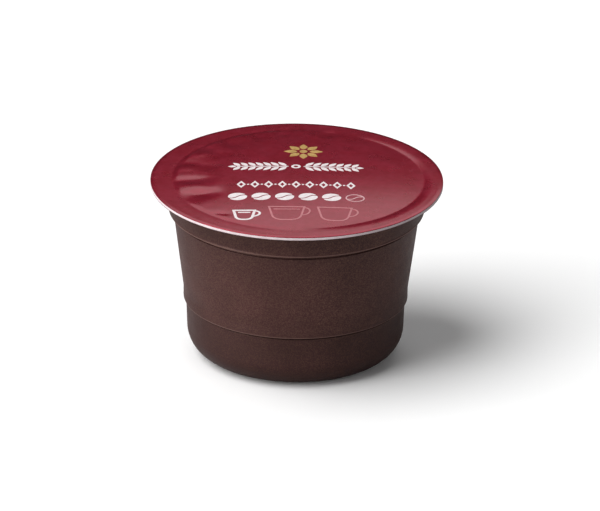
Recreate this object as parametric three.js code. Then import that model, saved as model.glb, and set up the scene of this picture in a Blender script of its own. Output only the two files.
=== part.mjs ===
// A single-serve coffee capsule: a plastic cup with a stepped, tapering wall and a flat flange,
// filled and closed for good by a foil lid that is heat-sealed to the flange.
// Millimetres, +Z up. The origin is the centre of the ring that the capsule stands on,
// and -Y is the side that the lid's print is read from.
import * as THREE from "three";

// Steps round the axis, and the largest turn between two points of a rounded corner.
const turnSteps = 72;
const filletStep = THREE.MathUtils.degToRad(19);

// Cup, heights from the base up.
const lowerBandHeight = 9.1;
const straightBandHeight = 1.8;
const wallHeight = 13.1;
const collarHeight = 4.08;
const flangeThickness = 0.5;

// Cup, radii of the outside.
const lowerBandFootRadius = 16.88;
const lowerBandTopRadius = 17.26;
const wallFootRadius = 17.68;
const wallTopRadius = 19.36;
const collarFootRadius = 20.07;
const collarTopRadius = 20.42;
const flangeRadius = 23;

// Cup, rounded corners and the shallow recess under the base.
const baseCornerRadius = 4.3;
const ledgeFillet = 0.14;
const collarEdgeFillet = 0.2;
const taperBlend = 4;
const flangeRootFillet = 0.6;
const flangeEdgeFillet = 0.12;
const standingRingWidth = 1.5;
const recessDepth = 0.7;
const recessSlopeWidth = 1.1;

// Room that is left in the cup between the foil and what fills it.
const headRoom = 0.6;

// Foil lid, with its sealed land, the step down inside it and the crown that the gas of fresh coffee gives it.
const foilThickness = 0.12;
const landWidth = 2.75;
const stepWidth = 0.9;
const stepDepth = 0.2;
const crownRise = 0.6;
const stepRings = 3;
const panelRings = 9;

// Puckers of the foil, which run inwards from the step: the angle that each lies at and its half width,
// in degrees from +X towards +Y, and how deep it is and how far in it reaches.
const puckers = [
  { angle: 206, width: 5, depth: 0.1, reach: 6 },
  { angle: 184, width: 5, depth: 0.1, reach: 7 },
  { angle: 163, width: 5, depth: 0.1, reach: 7 },
  { angle: 142, width: 5, depth: 0.09, reach: 6 },
  { angle: 127, width: 5, depth: 0.09, reach: 5 },
  { angle: 110, width: 4, depth: 0.08, reach: 4 },
  { angle: 96, width: 4, depth: 0.08, reach: 3 },
  { angle: 75, width: 4, depth: 0.06, reach: 3 },
];

// Colours of the two pieces.
const cupBrown = 0x42302c;
const lidRed = 0x8c2034;

// Heights that follow from the sizes above.
const lowerLedgeHeight = lowerBandHeight;
const taperStartHeight = lowerLedgeHeight + straightBandHeight;
const collarLedgeHeight = taperStartHeight + wallHeight;
const flangeUnderside = collarLedgeHeight + collarHeight;
const flangeTop = flangeUnderside + flangeThickness;

// Radii that follow from the sizes above: the cup's mouth, where the sealed land ends, and the foil's crowned panel.
const mouthRadius = flangeRadius - landWidth;
const panelRadius = mouthRadius - stepWidth;

// Turns a list of corners { r, z, fillet } into outline points, with an arc at each corner that has a fillet.
// A fillet never takes more than half of the shorter edge beside it.
function filletedOutline(corners) {
  const points = [];
  corners.forEach(({ r, z, fillet = 0 }, i) => {
    const corner = new THREE.Vector2(r, z);
    if (fillet <= 0 || i === 0 || i === corners.length - 1) {
      points.push(corner);
      return;
    }
    const before = new THREE.Vector2(corners[i - 1].r, corners[i - 1].z).sub(corner);
    const after = new THREE.Vector2(corners[i + 1].r, corners[i + 1].z).sub(corner);
    const room = Math.min(before.length(), after.length()) / 2;
    before.normalize();
    after.normalize();
    const half = Math.acos(THREE.MathUtils.clamp(before.dot(after), -1, 1)) / 2;
    const setBack = Math.min(fillet / Math.tan(half), room);
    const radius = setBack * Math.tan(half);
    const middle = before.clone().add(after).normalize().multiplyScalar(radius / Math.sin(half)).add(corner);
    const start = before.clone().multiplyScalar(setBack).add(corner).sub(middle);
    const turn = Math.PI - 2 * half;
    const side = Math.sign(after.cross(before));
    const steps = Math.max(1, Math.ceil(turn / filletStep));
    for (let k = 0; k <= steps; k++) {
      points.push(start.clone().rotateAround(new THREE.Vector2(), (side * turn * k) / steps).add(middle));
    }
  });
  return points;
}

// The outline turned round the axis, with the axis upright.
function turned(outline) {
  return new THREE.LatheGeometry(outline, turnSteps).rotateX(Math.PI / 2);
}

// The cup and what is sealed in it, as one solid. The corners run from the axis, under the base, out and up.
function cupGeometry() {
  const flatEdge = lowerBandFootRadius - baseCornerRadius;
  const recessEdge = flatEdge - standingRingWidth;
  return turned(
    filletedOutline([
      { r: 0, z: recessDepth },
      { r: recessEdge - recessSlopeWidth, z: recessDepth, fillet: recessDepth },
      { r: recessEdge, z: 0, fillet: recessDepth },
      { r: lowerBandFootRadius, z: 0, fillet: baseCornerRadius },
      { r: lowerBandTopRadius, z: lowerLedgeHeight, fillet: ledgeFillet },
      { r: wallFootRadius, z: lowerLedgeHeight, fillet: ledgeFillet },
      { r: wallFootRadius, z: taperStartHeight, fillet: taperBlend },
      { r: wallTopRadius, z: collarLedgeHeight, fillet: ledgeFillet },
      { r: collarFootRadius, z: collarLedgeHeight, fillet: collarEdgeFillet },
      { r: collarTopRadius, z: flangeUnderside, fillet: flangeRootFillet },
      { r: flangeRadius, z: flangeUnderside, fillet: flangeEdgeFillet },
      { r: flangeRadius, z: flangeTop },
      { r: mouthRadius, z: flangeTop },
      { r: mouthRadius, z: flangeTop - headRoom },
      { r: 0, z: flangeTop - headRoom },
    ]),
  );
}

// The share that a pucker has at a place: full along its line, and gone at its sides, at its inner end
// and on the sealed land.
function puckerShare({ angle, width, reach }, radius, around) {
  const away = THREE.MathUtils.euclideanModulo(around - angle + 180, 360) - 180;
  const across = Math.exp(-((away / width) ** 2));
  const inwards = THREE.MathUtils.smoothstep(radius, panelRadius - reach, panelRadius - reach / 3);
  const outwards = 1 - THREE.MathUtils.smoothstep(radius, panelRadius, mouthRadius);
  return across * inwards * outwards;
}

// How far the foil stands above its sealed land at a place, or below it if the value is negative.
function foilRise(radius, around) {
  if (radius >= mouthRadius) return 0;
  const step = stepDepth * (1 - THREE.MathUtils.smoothstep(radius, panelRadius, mouthRadius));
  const crown = crownRise * Math.max(0, 1 - (radius / panelRadius) ** 2);
  const creased = puckers.reduce((sum, pucker) => sum + pucker.depth * puckerShare(pucker, radius, around), 0);
  return crown - step - creased;
}

// The lid: a flat disc of foil, turned as a lathe with the rings that its relief needs, then raised to that relief.
function lidGeometry() {
  const rings = [flangeRadius, mouthRadius];
  for (let k = 1; k <= stepRings; k++) rings.push(mouthRadius - (stepWidth * k) / stepRings);
  for (let k = 1; k <= panelRings; k++) rings.push(panelRadius * (1 - k / panelRings));
  const face = (z) => rings.map((r) => new THREE.Vector2(r, z));
  const outline = [...face(flangeTop).reverse(), ...face(flangeTop + foilThickness)];
  const geometry = turned(outline);
  const position = geometry.attributes.position;
  for (let i = 0; i < position.count; i++) {
    const radius = Math.hypot(position.getX(i), position.getY(i));
    const around = THREE.MathUtils.radToDeg(Math.atan2(position.getY(i), position.getX(i)));
    position.setZ(i, position.getZ(i) + foilRise(radius, around));
  }
  geometry.computeVertexNormals();
  return geometry;
}

// A named mesh with its own material.
function piece(name, geometry, colour, roughness, metalness) {
  const mesh = new THREE.Mesh(geometry, new THREE.MeshStandardMaterial({ color: colour, roughness, metalness }));
  mesh.name = name;
  return mesh;
}

const capsule = new THREE.Group();
capsule.add(piece("cup", cupGeometry(), cupBrown, 0.42, 0.1));
capsule.add(piece("foil_lid", lidGeometry(), lidRed, 0.35, 0.25));

export default capsule;
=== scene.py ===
# A sealed coffee capsule: brown plastic cup with a flange, and a red foil lid with plain marks on it.
import math

import bmesh
import bpy
from mathutils import Matrix, Vector, noise


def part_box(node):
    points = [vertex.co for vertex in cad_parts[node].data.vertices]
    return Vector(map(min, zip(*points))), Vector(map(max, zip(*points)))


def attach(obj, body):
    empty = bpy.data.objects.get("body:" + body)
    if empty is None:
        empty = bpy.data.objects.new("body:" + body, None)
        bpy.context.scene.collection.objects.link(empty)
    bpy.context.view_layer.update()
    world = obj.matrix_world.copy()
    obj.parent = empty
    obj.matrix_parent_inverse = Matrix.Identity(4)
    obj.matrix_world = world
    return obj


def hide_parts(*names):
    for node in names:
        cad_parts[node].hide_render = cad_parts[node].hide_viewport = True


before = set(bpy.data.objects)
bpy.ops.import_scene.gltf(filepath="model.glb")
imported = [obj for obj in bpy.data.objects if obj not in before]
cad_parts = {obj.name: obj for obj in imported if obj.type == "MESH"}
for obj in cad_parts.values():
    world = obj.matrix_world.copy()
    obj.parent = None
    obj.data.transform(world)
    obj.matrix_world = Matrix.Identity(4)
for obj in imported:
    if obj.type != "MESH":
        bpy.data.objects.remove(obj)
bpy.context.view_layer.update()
mm = 0.001


# Outlines and meshes

# Points of an outline from (r, z, fillet) corners, with an arc at each corner that has a fillet.
# Where two fillets need more than the edge between them, both are made smaller.
def filletedOutline(corners, stepDegrees=7):
    spots = [Vector(corner[:2]) for corner in corners]
    lengths = [(b - a).length for a, b in zip(spots, spots[1:])]
    wanted = [0.0] * len(corners)
    for i in range(1, len(corners) - 1):
        half = (spots[i - 1] - spots[i]).angle(spots[i + 1] - spots[i]) / 2
        wanted[i] = corners[i][2] / math.tan(half)
    points = []
    for i, corner in enumerate(spots):
        if wanted[i] <= 0:
            points.append(corner)
            continue
        before = (spots[i - 1] - corner).normalized()
        after = (spots[i + 1] - corner).normalized()
        half = before.angle(after) / 2
        shareBefore = lengths[i - 1] / (wanted[i - 1] + wanted[i])
        shareAfter = lengths[i] / (wanted[i] + wanted[i + 1])
        setBack = wanted[i] * min(1, shareBefore, shareAfter)
        radius = setBack * math.tan(half)
        middle = corner + (before + after).normalized() * (radius / math.sin(half))
        start = corner + before * setBack - middle
        turn = math.pi - 2 * half
        side = 1 if after.x * before.y - after.y * before.x > 0 else -1
        steps = max(2, math.ceil(math.degrees(turn) / stepDegrees))
        for k in range(steps + 1):
            angle = side * turn * k / steps
            c, s = math.cos(angle), math.sin(angle)
            points.append(middle + Vector((start.x * c - start.y * s, start.x * s + start.y * c)))
    return points


# Adds a point near both ends of each long straight, so that smooth shading keeps it flat, and more between
def withHoldingPoints(points, near=0.12, longest=1.6):
    held = [points[0]]
    for a, b in zip(points, points[1:]):
        length = (b - a).length
        if length > 4 * near:
            inner = length - 2 * near
            spans = max(1, round(inner / longest))
            held += [a.lerp(b, (near + inner * k / spans) / length) for k in range(spans + 1)]
        held.append(b)
    return held


# A closed shape turned round the upright axis from an outline of (r, z) points in mm
def spun(outline, steps):
    bm = bmesh.new()
    verts = [bm.verts.new((p.x * mm, 0, p.y * mm)) for p in outline]
    edges = [bm.edges.new(pair) for pair in zip(verts, verts[1:])]
    swept = verts + edges
    turn = 2 * math.pi
    bmesh.ops.spin(bm, geom=swept, cent=(0, 0, 0), axis=(0, 0, 1), angle=turn, steps=steps, use_merge=True)
    bmesh.ops.remove_doubles(bm, verts=bm.verts, dist=1e-7)
    bmesh.ops.recalc_face_normals(bm, faces=bm.faces)
    return bm


# Turns a bmesh into a piece that rides on the capsule
def finished(bm, name, materials, sharpDegrees=40):
    mesh = bpy.data.meshes.new(name)
    for face in bm.faces:
        face.smooth = True
    bm.to_mesh(mesh)
    bm.free()
    mesh.set_sharp_from_angle(angle=math.radians(sharpDegrees))
    for material in materials:
        mesh.materials.append(material)
    piece = bpy.data.objects.new(name, mesh)
    bpy.context.scene.collection.objects.link(piece)
    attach(piece, "root")
    print(name, "has", len(mesh.polygons), "faces")
    return piece


# Materials

# A new material with its node tree and its principled shader
def newMaterial(name):
    material = bpy.data.materials.new(name)
    material.use_nodes = True
    tree = material.node_tree
    return material, tree, tree.nodes["Principled BSDF"]


# Adds a node. A setting that names an input sets its value, and any other is a property of the node
def addNode(tree, kind, **settings):
    node = tree.nodes.new(kind)
    for key, value in settings.items():
        if key in node.inputs:
            node.inputs[key].default_value = value
        else:
            setattr(node, key, value)
    return node


# A noise texture in the object's own coordinates; scale is in features per metre
def noiseOf(tree, scale, detail):
    place = addNode(tree, "ShaderNodeTexCoord")
    texture = addNode(tree, "ShaderNodeTexNoise", Scale=scale, Detail=detail, Roughness=0.55)
    tree.links.new(place.outputs["Object"], texture.inputs["Vector"])
    return texture.outputs["Fac"]


# Maps a value from one range to another, held inside it
def rangeOf(tree, source, fromLow, fromHigh, toLow, toHigh):
    node = addNode(tree, "ShaderNodeMapRange")
    for key, value in zip(("From Min", "From Max", "To Min", "To Max"), (fromLow, fromHigh, toLow, toHigh)):
        node.inputs[key].default_value = value
    tree.links.new(source, node.inputs["Value"])
    return node.outputs["Result"]


# A noise that varies from a lowest to a highest value
def variedOf(tree, scale, detail, lowest, highest):
    return rangeOf(tree, noiseOf(tree, scale, detail), 0.3, 0.7, lowest, highest)


# A math node on values, each a number or a socket
def mathOf(tree, operation, *values):
    node = addNode(tree, "ShaderNodeMath", operation=operation)
    for socket, value in zip(node.inputs, values):
        if isinstance(value, (int, float)):
            socket.default_value = value
        else:
            tree.links.new(value, socket)
    return node.outputs["Value"]


# Mixes two colours, each a tuple or a socket
def mixOf(tree, factor, first, second):
    node = addNode(tree, "ShaderNodeMix", data_type="RGBA")
    sockets = [s for s in node.inputs if s.enabled and s.type == "RGBA"]
    tree.links.new(factor, node.inputs["Factor"])
    for socket, colour in zip(sockets, (first, second)):
        if isinstance(colour, tuple):
            socket.default_value = (*colour, 1)
        else:
            tree.links.new(colour, socket)
    return next(s for s in node.outputs if s.enabled)


# Bumps laid over one another, each with its features per metre, detail, height in m and strength
def bumpsOf(tree, bumps):
    normal = None
    for scale, detail, height, strength in bumps:
        node = addNode(tree, "ShaderNodeBump", Strength=strength, Distance=height)
        tree.links.new(noiseOf(tree, scale, detail), node.inputs["Height"])
        if normal is not None:
            tree.links.new(normal, node.inputs["Normal"])
        normal = node.outputs["Normal"]
    return normal


# In each look, a noise is its features per metre, detail, lowest and highest value,
# and a bump is its features per metre, detail, height in m and strength.

plasticLook = {
    "colour": (0.078, 0.028, 0.027),
    "fleckColour": (0.19, 0.100, 0.078),
    "flecksPerMetre": 9000,
    "withoutFleck": 0.38,  # share of the cells
    "fleckMetal": 0.9,
    "sheen": 0.25,
    "cloud": (160, 4, 0.86, 1.12),
    "roughness": (420, 4, 0.40, 0.50),
    "bumps": ((4200, 2, 0.000012, 0.6), (240, 2, 0.00002, 0.35)),
    # painted shade: the wall is painted darker towards the base and under the flange; two heights in m, and
    # the share of its colour that is left
    "lowPaintedShade": (0.0077, 0.0132, 0.62),
    "highPaintedShade": (0.0165, 0.025, 0.82),
    # painted highlights: paler bands along the ledges' edges; heights in m, where their band fades, its
    # strength and its colour
    "highlightHeights": (0.00918, 0.02408),
    "highlightReach": (0.00007, 0.00017),
    "highlightStrength": 0.8,
    "highlightColour": (0.30, 0.17, 0.145),
}


# Dark brown plastic with a fine metallic fleck, with painted shade by height and painted highlights along
# the ledges
def brownPlastic():
    look = plasticLook
    material, tree, shader = newMaterial("brown_plastic")
    place = addNode(tree, "ShaderNodeTexCoord")
    cells = addNode(tree, "ShaderNodeTexVoronoi", Scale=look["flecksPerMetre"])
    tree.links.new(place.outputs["Object"], cells.inputs["Vector"])
    cellColour = addNode(tree, "ShaderNodeSeparateColor")
    tree.links.new(cells.outputs["Color"], cellColour.inputs["Color"])
    flecks = rangeOf(tree, cellColour.outputs["Red"], look["withoutFleck"], 1, 0, 1)
    colour = mixOf(tree, flecks, look["colour"], look["fleckColour"])
    height = addNode(tree, "ShaderNodeSeparateXYZ")
    tree.links.new(place.outputs["Object"], height.inputs["Vector"])
    # Painted highlight: a paler band at each ledge's edge
    for highlightHeight in look["highlightHeights"]:
        away = mathOf(tree, "ABSOLUTE", mathOf(tree, "SUBTRACT", height.outputs["Z"], highlightHeight))
        band = rangeOf(tree, away, *look["highlightReach"], look["highlightStrength"], 0)
        colour = mixOf(tree, band, colour, look["highlightColour"])
    # Painted shade: the colour is darkened towards the base and under the flange
    start, end, least = look["lowPaintedShade"]
    lowShare = rangeOf(tree, height.outputs["Z"], start, end, least, 1)
    start, end, least = look["highPaintedShade"]
    highShare = rangeOf(tree, height.outputs["Z"], start, end, 1, least)
    share = mathOf(tree, "MULTIPLY", variedOf(tree, *look["cloud"]), lowShare)
    share = mathOf(tree, "MULTIPLY", share, highShare)
    shade = addNode(tree, "ShaderNodeVectorMath", operation="SCALE")
    tree.links.new(colour, shade.inputs[0])
    tree.links.new(share, shade.inputs["Scale"])
    tree.links.new(shade.outputs["Vector"], shader.inputs["Base Color"])
    tree.links.new(variedOf(tree, *look["roughness"]), shader.inputs["Roughness"])
    tree.links.new(rangeOf(tree, flecks, 0, 1, 0, look["fleckMetal"]), shader.inputs["Metallic"])
    tree.links.new(bumpsOf(tree, look["bumps"]), shader.inputs["Normal"])
    shader.inputs["Specular IOR Level"].default_value = look["sheen"]
    return material


coreLook = {
    "dark": (0.84, 0.68, 0.71),
    "light": (0.94, 0.82, 0.85),
    "cloud": (900, 3, 0, 1),
    "roughness": (2500, 2, 0.45, 0.65),
    "bumps": ((3000, 3, 0.00003, 0.6),),
    "sheen": 0.3,
}


# The cut edge of the plastic sheet, whose core is pale
def paleCore():
    look = coreLook
    material, tree, shader = newMaterial("pale_core")
    cloudy = variedOf(tree, *look["cloud"])
    tree.links.new(mixOf(tree, cloudy, look["dark"], look["light"]), shader.inputs["Base Color"])
    tree.links.new(variedOf(tree, *look["roughness"]), shader.inputs["Roughness"])
    tree.links.new(bumpsOf(tree, look["bumps"]), shader.inputs["Normal"])
    shader.inputs["Specular IOR Level"].default_value = look["sheen"]
    return material


foilLook = {
    "deep": (0.30, 0.003, 0.021),
    # paler red in random patches, partly a painted milky sheen
    "paleLacquerAndSheen": (0.385, 0.026, 0.054),
    "patches": (210, 4),  # features per metre and detail
    "patchRange": (0.38, 0.66, 0, 1),
    "patchShare": 0.4,
    "mottle": (900, 2, 0, 0.5),
    "metallic": 0.66,
    "sheen": 0.1,
    "edgeTint": (1.0, 0.32, 0.42, 1.0),
    "roughness": (500, 4, 0.26, 0.34),
    "coat": 0.9,
    "coatRoughness": 0.14,
    "bumps": ((1200, 1, 0.00001, 0.3), (420, 1, 0.00005, 0.5), (130, 2, 0.00026, 0.4)),
}


# Aluminium foil under deep red lacquer, with paler patches that are partly a painted milky sheen
def redFoil():
    look = foilLook
    material, tree, shader = newMaterial("red_foil")
    # Partly painted sheen: the red turns paler in random patches
    patches = rangeOf(tree, noiseOf(tree, *look["patches"]), *look["patchRange"])
    share = mathOf(tree, "MULTIPLY_ADD", patches, look["patchShare"], variedOf(tree, *look["mottle"]))
    tree.links.new(mixOf(tree, share, look["deep"], look["paleLacquerAndSheen"]), shader.inputs["Base Color"])
    tree.links.new(variedOf(tree, *look["roughness"]), shader.inputs["Roughness"])
    tree.links.new(bumpsOf(tree, look["bumps"]), shader.inputs["Normal"])
    shader.inputs["Metallic"].default_value = look["metallic"]
    shader.inputs["Specular IOR Level"].default_value = look["sheen"]
    shader.inputs["Specular Tint"].default_value = look["edgeTint"]
    shader.inputs["Coat Weight"].default_value = look["coat"]
    shader.inputs["Coat Roughness"].default_value = look["coatRoughness"]
    return material


# Each ink's darker and lighter colour, lowest roughness and metal share
inkLooks = {
    "white_ink": ((0.74, 0.66, 0.67), (0.86, 0.80, 0.81), 0.35, 0.0),
    "gold_ink": ((0.46, 0.27, 0.07), (0.60, 0.40, 0.13), 0.32, 0.25),
    "dull_ink": ((0.60, 0.34, 0.36), (0.70, 0.44, 0.46), 0.35, 0.0),
    "faint_ink": ((0.48, 0.16, 0.18), (0.56, 0.21, 0.23), 0.35, 0.1),
}


# How uneven every ink is: its colour, how much rougher it gets in places, and its surface
inkGrain = {
    "cloud": (1800, 3, 0, 1),
    "gloss": (900, 3),  # features per metre and detail
    "rougher": 0.12,
    "bumps": ((2600, 3, 0.00001, 0.4),),
}


# A printed ink, a little uneven in its colour and gloss
def ink(name):
    grain = inkGrain
    dark, light, roughness, metallic = inkLooks[name]
    material, tree, shader = newMaterial(name)
    cloudy = variedOf(tree, *grain["cloud"])
    tree.links.new(mixOf(tree, cloudy, dark, light), shader.inputs["Base Color"])
    gloss = variedOf(tree, *grain["gloss"], roughness, roughness + grain["rougher"])
    tree.links.new(gloss, shader.inputs["Roughness"])
    tree.links.new(bumpsOf(tree, grain["bumps"]), shader.inputs["Normal"])
    shader.inputs["Metallic"].default_value = metallic
    return material


# Cup

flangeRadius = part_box("cup")[1].x / mm
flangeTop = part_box("cup")[1].z / mm

# Millimetres. The radii are of the outside, and the heights are from the base
cupSizes = {
    "steps": 224,
    "recessRadius": 9.98,
    "recessEdge": 11.08,
    "recessDepth": 0.7,
    "recessFillet": 0.7,
    "footRadius": 16.88,
    "bandTopRadius": 17.25,
    "wallFootRadius": 17.68,
    "wallTopRadius": 19.33,
    "collarLipRadius": 20.13,
    "collarFootRadius": 20.09,
    "collarTopRadius": 20.42,
    "lowerLedge": 9.1,
    "taperStart": 10.9,
    "collarLedge": 24.0,
    "collarLip": (0.2, 0.36),  # where the lip at the collar's foot ends, and where the collar's wall starts
    "flangeThickness": 0.5,
    "coreHeight": 0.36,
    "headRoom": 0.6,
    "baseFillet": 4.3,
    "taperBlend": 4,
    "flangeRootFillet": 0.6,
    "flangeEdgeFillet": 0.1,
    "collarFillet": 0.1,
    "collarLipFillet": 0.07,
    "ledgeFillet": 0.16,
    # the grooves under both ledges
    "groove": 0.22,
    "grooveSlope": 0.08,
    "grooveLip": 0.05,
    "grooveFillet": 0.03,
    "collarGroove": 0.6,
    # the wall's slight waves, and how much of it at the base and under the flange stays even
    "unevenness": 0.018,
    "wavesPerMetre": 140,
    "evenRadius": 12,
    "evenFoot": 2,
    "evenTop": 1,
}


# The cup with its flange, whose cut edge shows a pale core
def makeCup():
    sizes = cupSizes
    under = flangeTop - sizes["flangeThickness"]
    core = flangeTop - sizes["coreHeight"]
    mouth = flangeRadius - lidSizes["land"]
    filling = flangeTop - sizes["headRoom"]
    lowerLedge, collarLedge = sizes["lowerLedge"], sizes["collarLedge"]
    groove, slope = sizes["groove"], sizes["grooveSlope"]
    lip, crease = sizes["grooveLip"], sizes["grooveFillet"]
    bandTop, wallFoot, wallTop = sizes["bandTopRadius"], sizes["wallFootRadius"], sizes["wallTopRadius"]
    grooveFoot = collarLedge - sizes["collarGroove"]
    lipEnd, collarStart = sizes["collarLip"]
    outline = filletedOutline([
        (0, sizes["recessDepth"], 0),
        (sizes["recessRadius"], sizes["recessDepth"], sizes["recessFillet"]),
        (sizes["recessEdge"], 0, sizes["recessFillet"]),
        (sizes["footRadius"], 0, sizes["baseFillet"]),
        (bandTop, lowerLedge - groove - slope, lip),
        (bandTop - groove, lowerLedge - groove, crease),
        (bandTop - groove, lowerLedge, crease),
        (wallFoot, lowerLedge, sizes["ledgeFillet"]),
        (wallFoot, sizes["taperStart"], sizes["taperBlend"]),
        (wallTop, grooveFoot - slope, lip),
        (wallTop - groove, grooveFoot, crease),
        (wallTop - groove, collarLedge, crease),
        (sizes["collarLipRadius"], collarLedge, sizes["collarFillet"]),
        (sizes["collarLipRadius"], collarLedge + lipEnd, sizes["collarLipFillet"]),
        (sizes["collarFootRadius"], collarLedge + collarStart, sizes["collarFillet"]),
        (sizes["collarTopRadius"], under, sizes["flangeRootFillet"]),
        (flangeRadius, under, sizes["flangeEdgeFillet"]),
        (flangeRadius, core, 0),
        (flangeRadius, flangeTop, lip),
        (mouth, flangeTop, lip),
        (mouth, filling, 0),
        (0, filling, 0),
    ])
    bm = spun(withHoldingPoints(outline), sizes["steps"])
    for vert in bm.verts:
        radius = math.hypot(vert.co.x, vert.co.y)
        height = vert.co.z / mm
        if radius > sizes["evenRadius"] * mm and sizes["evenFoot"] < height < under - sizes["evenTop"]:
            wave = noise.noise(vert.co * sizes["wavesPerMetre"]) - 0.3  # mostly inwards
            push = wave * sizes["unevenness"] * mm
            vert.co.x += vert.co.x / radius * push
            vert.co.y += vert.co.y / radius * push
    cutEdge = flangeRadius - 0.03
    for face in bm.faces:
        centre = face.calc_center_median()
        if math.hypot(centre.x, centre.y) > cutEdge * mm and centre.z > core * mm:
            face.material_index = 1
    piece = finished(bm, "cup_shell", [brownPlastic(), paleCore()])
    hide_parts("cup")


# Lid

# Millimetres and degrees
lidSizes = {
    "steps": 288,
    "rings": 112,
    "landRings": 4,
    "undersideRings": 30,
    "thickness": 0.12,
    "edge": 0.04,
    "land": 2.75,
    "step": 0.9,
    "landRise": 0.07,
    "stepDepth": 0.2,
    # shares of the step's depth: all round, towards +X, towards +Y, and at both sides
    "stepShares": (0.05, 0.7, -0.15, 0.2),
    "offCentre": 0.6,
    "crown": 0.58,
    # angle, half width, depth and reach inwards
    "puckers": [
        (206, 5, 0.10, 6),
        (184, 5, 0.10, 7),
        (163, 5, 0.10, 7),
        (142, 5, 0.09, 6),
        (127, 5, 0.09, 5),
        (110, 4, 0.08, 4),
        (96, 4, 0.08, 3),
        (75, 4, 0.06, 3),
    ],
    # x, y, half length, half width, turn and height
    "folds": [
        (-15.6, -6.3, 2.8, 1.3, 0, -0.10),
        (-16.4, -3.4, 2.8, 1.0, -8, 0.035),
        (-12.8, -3.1, 1.1, 2.6, 0, 0.04),
        (-16.8, 4.2, 2.4, 1.3, 8, 0.08),
        (-14.6, 9.6, 2.4, 1.2, 24, 0.07),
        (-12.0, -14.2, 1.5, 0.6, -8, -0.05),
        (-3.9, 17.5, 0.6, 1.5, 0, 0.04),
        (-0.8, 18.0, 0.5, 1.4, 5, 0.04),
        (2.7, 17.6, 0.7, 1.6, -8, 0.04),
        (6.6, 16.6, 0.9, 1.7, -20, 0.03),
    ],
}

lidTop = flangeTop + lidSizes["thickness"]


# 0 before low, 1 past high, and smooth between; low may be the larger of the two
def smoothStep(low, high, value):
    t = min(max((value - low) / (high - low), 0), 1)
    return t * t * (3 - 2 * t)


# How far the foil's top stands above the flat lid at a place in mm, or below it if negative
def foilRise(x, y):
    sizes = lidSizes
    radius = math.hypot(x, y)
    turn = math.atan2(y, x)
    mouth = flangeRadius - sizes["land"] + sizes["offCentre"] * math.cos(turn)
    panel = mouth - sizes["step"]
    rise = sizes["landRise"] * smoothStep(flangeRadius, mouth, radius)
    if radius >= mouth:
        return rise
    inside = 1 - smoothStep(panel, mouth, radius)
    everywhere, right, behind, sides = sizes["stepShares"]
    varied = right * math.cos(turn) + behind * math.sin(turn) + sides * math.cos(2 * turn)
    uneven = everywhere + varied * min(1, radius / panel) ** 2
    rise += sizes["crown"] * (1 - (radius / mouth) ** 2) - sizes["stepDepth"] * uneven * inside
    around = math.degrees(turn)
    for angle, width, depth, reach in sizes["puckers"]:
        away = (around - angle + 180) % 360 - 180
        share = math.exp(-((away / width) ** 2)) * smoothStep(panel - reach, panel - reach / 3, radius)
        rise -= depth * share * inside
    for cx, cy, length, width, lean, height in sizes["folds"]:
        c, s = math.cos(math.radians(lean)), math.sin(math.radians(lean))
        along = ((x - cx) * c + (y - cy) * s) / length
        across = ((y - cy) * c - (x - cx) * s) / width
        rise += height * math.exp(-(along ** 2 + across ** 2)) * inside
    return rise


# The foil disc, raised to its relief
def makeLid():
    sizes = lidSizes
    mouth = flangeRadius - sizes["land"]
    edge = sizes["edge"]
    flat = flangeRadius - edge
    landRings, rings, undersideRings = sizes["landRings"], sizes["rings"], sizes["undersideRings"]
    outline = [Vector((mouth * k / undersideRings, flangeTop)) for k in range(undersideRings + 1)]
    outline.append(Vector((flat, flangeTop)))
    outline.append(Vector((flangeRadius, flangeTop + edge)))
    outline.append(Vector((flangeRadius, lidTop - edge)))
    outline.append(Vector((flangeRadius - edge * 0.3, lidTop - edge * 0.3)))
    outline.append(Vector((flat, lidTop)))
    for k in range(1, landRings + 1):
        outline.append(Vector((flat - (sizes["land"] - edge) * k / landRings, lidTop)))
    outline += [Vector((mouth * (1 - k / rings), lidTop)) for k in range(1, rings + 1)]
    bm = spun(outline, sizes["steps"])
    for vert in bm.verts:
        vert.co.z += foilRise(vert.co.x / mm, vert.co.y / mm) * mm
    piece = finished(bm, "foil_disc", [redFoil()], 60)
    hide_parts("foil_lid")


# Marks printed on the lid, as thin films of ink. Their outlines are in mm on the lid

# A closed ellipse outline
def ellipse(cx, cy, rx, ry, count=40):
    turns = [2 * math.pi * k / count for k in range(count)]
    return [(cx + rx * math.cos(turn), cy + ry * math.sin(turn)) for turn in turns]


# A closed leaf outline that grows from a point
def leaf(x, y, length, width, turn, count=12):
    c, s = math.cos(math.radians(turn)), math.sin(math.radians(turn))
    shares = [k / count for k in range(count + 1)]
    side = [(length * share, width / 2 * math.sin(math.pi * share ** 0.85)) for share in shares]
    outline = side + [(u, -v) for u, v in side[-2:0:-1]]
    return [(x + u * c - v * s, y + u * s + v * c) for u, v in outline]


# The outline of a line of even width along open points
def stroke(points, width):
    left, right = [], []
    for i, point in enumerate(points):
        a = Vector(points[max(0, i - 1)])
        b = Vector(points[min(len(points) - 1, i + 1)])
        along = (b - a).normalized()
        side = Vector((-along.y, along.x)) * width / 2
        left.append(tuple(Vector(point) + side))
        right.append(tuple(Vector(point) - side))
    return left + right[::-1]


# A closed outline moved outwards by a distance; the points run anticlockwise
def offsetLoop(points, distance):
    moved = []
    for i, point in enumerate(points):
        here = Vector(point)
        before = (here - Vector(points[i - 1])).normalized()
        after = (Vector(points[(i + 1) % len(points)]) - here).normalized()
        normal = (Vector((before.y, -before.x)) + Vector((after.y, -after.x))).normalized()
        reach = distance / max(0.35, math.sqrt((1 + before.dot(after)) / 2))
        moved.append(tuple(here + normal * reach))
    return moved


# How far a film stands out of the foil and goes into it, and the cells it is cut into to follow the relief
filmSizes = {"above": 0.02, "below": 0.03, "cell": 0.7}


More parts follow.
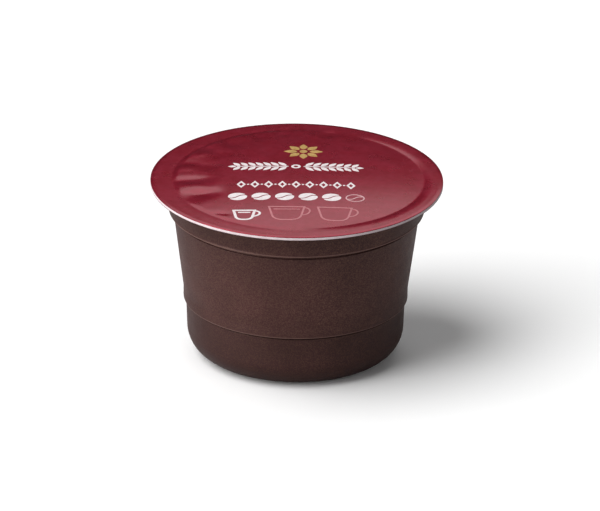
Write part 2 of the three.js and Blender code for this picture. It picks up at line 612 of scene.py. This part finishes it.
# A film of ink on the lid. Each shape is an outline followed by its holes
def inkPiece(name, shapes, material):
    bm = bmesh.new()
    for loops in shapes:
        edges = []
        for loop in loops:
            verts = [bm.verts.new((x, y, 0)) for x, y in loop]
            edges += [bm.edges.new((verts[i - 1], verts[i])) for i in range(len(verts))]
        bmesh.ops.triangle_fill(bm, use_beauty=True, use_dissolve=False, edges=edges, normal=(0, 0, 1))
    xs = [v.co.x for v in bm.verts]
    ys = [v.co.y for v in bm.verts]
    cell = filmSizes["cell"]
    for low, high, normal in ((min(xs), max(xs), (1, 0, 0)), (min(ys), max(ys), (0, 1, 0))):
        place = low + cell / 2
        while place < high:
            parts = bm.verts[:] + bm.edges[:] + bm.faces[:]
            spot = Vector(normal) * place
            bmesh.ops.bisect_plane(bm, geom=parts, dist=1e-5, plane_co=spot, plane_no=normal)
            place += cell
    for face in bm.faces:
        if face.normal.z < 0:
            face.normal_flip()
    raised = bmesh.ops.extrude_face_region(bm, geom=bm.faces[:])
    upper = {v for v in raised["geom"] if isinstance(v, bmesh.types.BMVert)}
    for vert in bm.verts:
        film = filmSizes["above"] if vert in upper else -filmSizes["below"]
        level = lidTop + foilRise(vert.co.x, vert.co.y) + film
        vert.co = Vector((vert.co.x, vert.co.y, level)) * mm
    bmesh.ops.recalc_face_normals(bm, faces=bm.faces)
    finished(bm, name, [material], 30)


rosetteSizes = {"petals": 8, "reach": 3.1, "hub": 0.62, "petalFoot": 0.95, "petalWidth": 1.25}


# A flower of pointed petals round a small disc
def rosetteShapes(cx, cy):
    sizes = rosetteSizes
    foot = sizes["petalFoot"]
    shapes = [[ellipse(cx, cy, sizes["hub"], sizes["hub"])]]
    for k in range(sizes["petals"]):
        turn = 360 * k / sizes["petals"]
        x = cx + foot * math.cos(math.radians(turn))
        y = cy + foot * math.sin(math.radians(turn))
        shapes.append([leaf(x, y, sizes["reach"] - foot, sizes["petalWidth"], turn)])
    return shapes


garlandSizes = {
    "ring": (0.75, 0.38),
    "stem": (1.2, 1.4),  # where it starts, and how far short of the half width it ends
    "stemWidth": 0.26,
    "pairs": 7,
    "leaves": (1.5, 1.9),  # as the stem's
    "leafLength": 2.0,
    "leafShrink": 0.06,
    "leafWidth": 0.78,
    "leafTurn": 48,
    "leafFoot": 0.24,
    "tip": (1.3, 0.7),
}


# A garland: from a central ring, a stem runs out to each side, with pairs of leaves along it
def garlandShapes(cx, cy, halfWidth):
    sizes = garlandSizes
    outer, inner = sizes["ring"]
    stemStart, stemEnd = sizes["stem"]
    leafStart, leafEnd = sizes["leaves"]
    tipLength, tipWidth = sizes["tip"]
    pairs = sizes["pairs"]
    shapes = [[ellipse(cx, cy, outer, outer), ellipse(cx, cy, inner, inner)[::-1]]]
    for side in (1, -1):
        reach = halfWidth - stemStart - stemEnd
        stem = [(cx + side * (stemStart + reach * k / 20), cy) for k in range(21)]
        shapes.append([stroke(stem, sizes["stemWidth"])])
        for k in range(pairs):
            x = cx + side * (leafStart + (halfWidth - leafStart - leafEnd) * k / (pairs - 1))
            length = sizes["leafLength"] - sizes["leafShrink"] * k
            for up in (1, -1):
                turn = up * sizes["leafTurn"] if side > 0 else 180 - up * sizes["leafTurn"]
                shapes.append([leaf(x, cy + up * sizes["leafFoot"], length, sizes["leafWidth"], turn)])
        tipTurn = 0 if side > 0 else 180
        shapes.append([leaf(cx + side * (halfWidth - tipLength), cy, tipLength, tipWidth, tipTurn)])
    return shapes


lozengeSizes = {"count": 9, "outer": (0.72, 1.35), "inner": (0.36, 0.68), "dot": 0.2}


# A row of open lozenges with a dot between each two
def lozengeShapes(cx, cy, halfWidth):
    sizes = lozengeSizes
    shapes = []
    pitch = 2 * halfWidth / (sizes["count"] - 1)
    for k in range(sizes["count"]):
        x = cx - halfWidth + k * pitch
        outer, inner = (
            [(x - wide, cy), (x, cy - high), (x + wide, cy), (x, cy + high)]
            for wide, high in (sizes["outer"], sizes["inner"])
        )
        shapes.append([outer, inner[::-1]])
        if k < sizes["count"] - 1:
            shapes.append([ellipse(x + pitch / 2, cy, sizes["dot"], sizes["dot"], count=16)])
    return shapes


beanSizes = {"halfWidth": 1.5, "halfDepth": 1.36, "turn": 24, "gap": 0.26, "line": 0.2, "sway": 0.2}


# The S-shaped seam of a coffee bean
def seamCurve(cx, cy, halfLength, count=16):
    turn = math.radians(beanSizes["turn"])
    c, s = math.cos(turn), math.sin(turn)
    points = []
    for k in range(count + 1):
        t = 2 * k / count - 1
        u, v = t * halfLength, beanSizes["sway"] * math.sin(math.pi * t)
        points.append((cx + u * c - v * s, cy + u * s + v * c))
    return points


# A bean as two filled halves with its seam left open
def fullBean(cx, cy):
    sizes = beanSizes
    turn = math.radians(sizes["turn"])
    seam = seamCurve(0, 0, sizes["halfWidth"])
    halves = []
    for up in (1, -1):
        shift = Vector((-math.sin(turn), math.cos(turn))) * up * sizes["gap"] / 2
        outline = [Vector(p) + shift for p in seam[1:-1]]
        for k in range(1, 24):
            a = math.radians(sizes["turn"] + up * (6 + 168 * k / 24))
            outline.append(Vector((sizes["halfWidth"] * math.cos(a), sizes["halfDepth"] * math.sin(a))))
        halves.append([[(cx + p.x, cy + p.y) for p in outline[::up]]])
    return halves


# A bean as an outline with its seam drawn as a line
def openBean(cx, cy):
    halfWidth, halfDepth, line = beanSizes["halfWidth"], beanSizes["halfDepth"], beanSizes["line"]
    ring = [ellipse(cx, cy, halfWidth, halfDepth)]
    ring.append(ellipse(cx, cy, halfWidth - line, halfDepth - line)[::-1])
    seam = seamCurve(cx, cy, halfWidth - line * 1.2)
    return [ring, [stroke(seam, line)]]


cupMarkShares = {
    # of how far the foot stands in
    "footRound": 2.2,
    "liquidInset": 0.55,
    # of the width of the cup's line
    "liquidLine": 0.8,
    "handleLine": 0.9,
    # of the handle's height
    "handleMiddle": 0.62,
}

# Each drawn cup's left, right, top and bottom, how far its foot stands in, the width of its line,
# how far down its liquid is (0 for none), and its handle's reach and height
cupMarks = {
    "small_cup": (-9.8, -6.5, -13.2, -16.5, 0.5, 0.42, 0.75, (0.95, 1.9)),
    "middle_cup": (-4.3, 1.25, -11.8, -16.5, 0.75, 0.3, 0.9, (1.1, 2.7)),
    "large_cup": (3.35, 8.65, -11.8, -16.5, 0.75, 0.3, 0, (1.2, 2.8)),
}


# A cup drawn in outline from its side, with a handle at the right
def cupShapes(left, right, top, bottom, foot, line, liquid, handle):
    shares = cupMarkShares
    footRound = foot * shares["footRound"]
    base = [(left + foot, bottom, footRound), (right - foot, bottom, footRound)]
    closed = [(right, top, 0), (left, top, 0), *base, (right, top, 0), (left, top, 0)]
    body = [tuple(p) for p in filletedOutline(closed, 15)[1:-1]]
    shapes = [[offsetLoop(body, line / 2), offsetLoop(body, -line / 2)[::-1]]]
    if liquid:
        inset = foot * shares["liquidInset"] + line
        surface = [(left + inset, top - liquid), (right - inset, top - liquid)]
        shapes.append([stroke(surface, line * shares["liquidLine"])])
    reach, height = handle
    middle = top - height * shares["handleMiddle"]
    ear = []
    for k in range(17):
        a = math.radians(90 - 180 * k / 16)
        y = middle + height / 2 * math.sin(a)
        ear.append((right - foot * (top - y) / (top - bottom) + reach * math.cos(a), y))
    shapes.append([stroke(ear, line * shares["handleLine"])])
    return shapes


# The centre of each mark, and its half width where it runs across the lid
markPlaces = {
    "rosette": (1.0, 10.3),
    "garland": (-0.15, 3.95, 10.7),
    "lozenges": (-0.1, -3.3, 8.6),
    "firstBean": (-9.24, -8.0),
    "beanPitch": 3.68,
    "fullBeans": 5,
}


# All the marks on the lid
def makeMarks():
    places = markPlaces
    white, gold, dull, faint = (ink(name) for name in ("white_ink", "gold_ink", "dull_ink", "faint_ink"))
    inkPiece("rosette", rosetteShapes(*places["rosette"]), gold)
    inkPiece("garland", garlandShapes(*places["garland"]), white)
    inkPiece("lozenge_row", lozengeShapes(*places["lozenges"]), white)
    x, y = places["firstBean"]
    beans = []
    for k in range(places["fullBeans"]):
        beans += fullBean(x + places["beanPitch"] * k, y)
    inkPiece("full_beans", beans, white)
    inkPiece("open_bean", openBean(x + places["beanPitch"] * places["fullBeans"], y), dull)
    for name, material in (("small_cup", white), ("middle_cup", faint), ("large_cup", faint)):
        inkPiece(name, cupShapes(*cupMarks[name]), material)


# Floor, light and camera

stageLook = {
    "floorHalf": 3.0,
    "floorDrop": 0.00002,
    # how pale the floor is to the camera, in reflections, and for the light that it throws back
    "floorSeen": 1.0,
    "floorInGloss": 0.44,
    "floorLit": 0.16,
    "world": 0.09,
    "worldInGloss": 0.03,
}


# A plain white floor that keeps the capsule's shadow
def makeFloor():
    half, level = stageLook["floorHalf"], -stageLook["floorDrop"]
    bm = bmesh.new()
    corners = [(-half, -half), (half, -half), (half, half), (-half, half)]
    bm.faces.new([bm.verts.new((x, y, level)) for x, y in corners])
    mesh = bpy.data.meshes.new("floor")
    bm.to_mesh(mesh)
    bm.free()
    material, tree, unused = newMaterial("floor_white")
    tree.nodes.remove(unused)
    path = addNode(tree, "ShaderNodeLightPath")
    diffuse = addNode(tree, "ShaderNodeBsdfDiffuse")
    lit, glossy, shown = ((stageLook[key],) * 3 for key in ("floorLit", "floorInGloss", "floorSeen"))
    unseen = mixOf(tree, path.outputs["Is Glossy Ray"], lit, glossy)
    tree.links.new(mixOf(tree, path.outputs["Is Camera Ray"], unseen, shown), diffuse.inputs["Color"])
    tree.links.new(diffuse.outputs["BSDF"], tree.nodes["Material Output"].inputs["Surface"])
    mesh.materials.append(material)
    floor = bpy.data.objects.new("floor", mesh)
    bpy.context.scene.collection.objects.link(floor)


# White where the camera sees it, and dim light elsewhere
def makeWorld():
    world = bpy.data.worlds.new("studio")
    bpy.context.scene.world = world
    world.use_nodes = True
    tree = world.node_tree
    background = tree.nodes["Background"]
    path = addNode(tree, "ShaderNodeLightPath")
    dim, inGloss = stageLook["world"], stageLook["worldInGloss"]
    ambient = rangeOf(tree, path.outputs["Is Glossy Ray"], 0, 1, dim, inGloss)
    strength = mathOf(tree, "MAXIMUM", ambient, path.outputs["Is Camera Ray"])
    tree.links.new(strength, background.inputs["Strength"])
    background.inputs["Color"].default_value = (1, 1, 1, 1)


# Each lamp's azimuth from +X towards +Y, elevation, level on the floor, and width in degrees:
# a wide key light from the left, a low one that grazes the wall, one behind the lid, and a dim fill
lamps = {
    "key": (197, 54, 0.79, 60),
    "side": (211, 10, 0.1, 34),
    "back": (79, 47, 0.108, 46),
    "fill": (318, 18, 0.045, 60),
}


# The lamps, far away and soft
def makeLamps():
    for name, (azimuth, elevation, level, width) in lamps.items():
        a, e = math.radians(azimuth), math.radians(elevation)
        light = bpy.data.lights.new(name, "SUN")
        light.angle = math.radians(width)
        light.energy = level * math.pi / math.sin(e)
        towards = Vector((math.cos(a) * math.cos(e), math.sin(a) * math.cos(e), math.sin(e)))
        lamp = bpy.data.objects.new(name, light)
        lamp.rotation_mode = "QUATERNION"
        lamp.rotation_quaternion = towards.to_track_quat("Z", "Y")
        lamp.location = towards
        bpy.context.scene.collection.objects.link(lamp)


cameraLook = {
    "elevation": 23.3,
    "roll": 0.64,
    "distance": 2.0,
    "imageWidth": 600,
    "pixelsPerMm": 6.369,
    # how far the view's centre is from the lid's, in mm
    "right": 0.499,
    "down": 11.87,
}


# A long lens that sees the capsule from the front, a little from above
def makeCamera():
    look = cameraLook
    elevation, roll = math.radians(look["elevation"]), math.radians(look["roll"])
    right = Vector((1, 0, 0))
    up = Vector((0, math.sin(elevation), math.cos(elevation)))
    back = Vector((0, -math.cos(elevation), math.sin(elevation)))
    rightTurned = right * math.cos(roll) + up * math.sin(roll)
    upTurned = up * math.cos(roll) - right * math.sin(roll)
    aim = Vector((0, 0, lidTop * mm)) + (rightTurned * look["right"] - upTurned * look["down"]) * mm
    lens = bpy.data.cameras.new("camera")
    lens.sensor_width = 36
    lens.lens = look["pixelsPerMm"] * look["distance"] / mm * lens.sensor_width / look["imageWidth"]
    lens.clip_start = 0.1
    lens.clip_end = 20
    camera = bpy.data.objects.new("camera", lens)
    camera.rotation_mode = "QUATERNION"
    camera.rotation_quaternion = Matrix((rightTurned, upTurned, back)).transposed().to_quaternion()
    camera.location = aim + back * look["distance"]
    bpy.context.scene.collection.objects.link(camera)
    bpy.context.scene.camera = camera


makeCup()
makeLid()
makeMarks()
makeFloor()
makeWorld()
makeLamps()
makeCamera()
bpy.context.scene.view_settings.view_transform = "Standard"
print("floor, light and camera are set")
